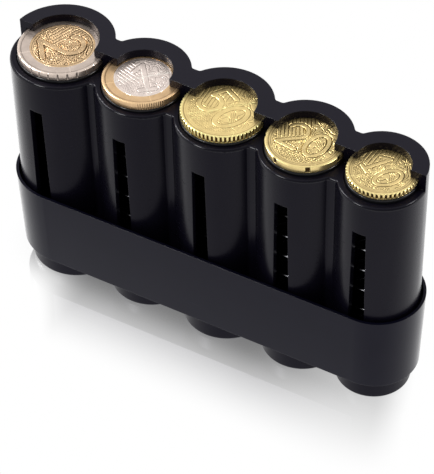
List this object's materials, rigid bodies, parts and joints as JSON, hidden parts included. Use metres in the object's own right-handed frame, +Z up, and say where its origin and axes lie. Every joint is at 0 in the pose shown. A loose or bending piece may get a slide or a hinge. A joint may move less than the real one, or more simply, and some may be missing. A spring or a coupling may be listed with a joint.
{
  "type": "coin dispenser",
  "caption": "Hand-filled coin dispenser: spring-loaded tubes for different coin sizes stand side by side in a flared base sleeve, each with a viewing slot and a lip over its top coin.",
  "frame": {"origin": "on the table, under the middle of the object's bounding box", "axes": "+Z up; X along the row of tubes, from the largest coin at -X to the smallest at +X; the front with the viewing slots faces -Y"},
  "size_m": [0.1336, 0.0338, 0.0824],
  "materials": {
    "black_plastic": "satin moulded",
    "follower_plastic": "matt moulded",
    "spring_steel": "drawn wire",
    "coin_gold": "struck, worn",
    "coin_silver": "struck, worn"
  },
  "bodies": {
    "housing": {"tube_block": "black_plastic", "base_sleeve": "black_plastic", "foot_cap_two": "black_plastic", "spring_two": "spring_steel", "foot_cap_one": "black_plastic", "spring_one": "spring_steel", "foot_cap_fifty": "black_plastic", "spring_fifty": "spring_steel", "foot_cap_twenty": "black_plastic", "spring_twenty": "spring_steel", "foot_cap_ten": "black_plastic", "spring_ten": "spring_steel"},
    "pusher_two": {"follower_two": "follower_plastic"},
    "coin_two": {"coin_two_ring": "coin_silver", "coin_two_core": "coin_gold"},
    "pusher_one": {"follower_one": "follower_plastic"},
    "coin_one": {"coin_one_ring": "coin_gold", "coin_one_core": "coin_silver"},
    "pusher_fifty": {"follower_fifty": "follower_plastic"},
    "coin_fifty": {"coin_fifty": "coin_gold"},
    "pusher_twenty": {"follower_twenty": "follower_plastic"},
    "coin_twenty": {"coin_twenty": "coin_gold"},
    "pusher_ten": {"follower_ten": "follower_plastic"},
    "coin_ten": {"coin_ten": "coin_gold"}
  },
  "joints": [
    {"name": "pusher_two_lift", "type": "slide", "parent": "housing", "child": "pusher_two", "axis": [0, 0, 1], "range_m": [-0.05, 0], "stiffness_N_per_m": 40, "springref_m": 0.02, "deforming": ["spring_two"]},
    {"name": "coin_two_slide", "type": "slide", "parent": "pusher_two", "child": "coin_two", "axis": [0, -1, 0], "range_m": [0, 0.018]},
    {"name": "pusher_one_lift", "type": "slide", "parent": "housing", "child": "pusher_one", "axis": [0, 0, 1], "range_m": [-0.05, 0], "stiffness_N_per_m": 40, "springref_m": 0.02, "deforming": ["spring_one"]},
    {"name": "coin_one_slide", "type": "slide", "parent": "pusher_one", "child": "coin_one", "axis": [0, -1, 0], "range_m": [0, 0.018]},
    {"name": "pusher_fifty_lift", "type": "slide", "parent": "housing", "child": "pusher_fifty", "axis": [0, 0, 1], "range_m": [-0.05, 0], "stiffness_N_per_m": 40, "springref_m": 0.02, "deforming": ["spring_fifty"]},
    {"name": "coin_fifty_slide", "type": "slide", "parent": "pusher_fifty", "child": "coin_fifty", "axis": [0, -1, 0], "range_m": [0, 0.018]},
    {"name": "pusher_twenty_lift", "type": "slide", "parent": "housing", "child": "pusher_twenty", "axis": [0, 0, 1], "range_m": [-0.05, 0], "stiffness_N_per_m": 40, "springref_m": 0.02, "deforming": ["spring_twenty"]},
    {"name": "coin_twenty_slide", "type": "slide", "parent": "pusher_twenty", "child": "coin_twenty", "axis": [0, -1, 0], "range_m": [0, 0.018]},
    {"name": "pusher_ten_lift", "type": "slide", "parent": "housing", "child": "pusher_ten", "axis": [0, 0, 1], "range_m": [-0.05, 0], "stiffness_N_per_m": 40, "springref_m": 0.02, "deforming": ["spring_ten"]},
    {"name": "coin_ten_slide", "type": "slide", "parent": "pusher_ten", "child": "coin_ten", "axis": [0, -1, 0], "range_m": [0, 0.018]}
  ]
}
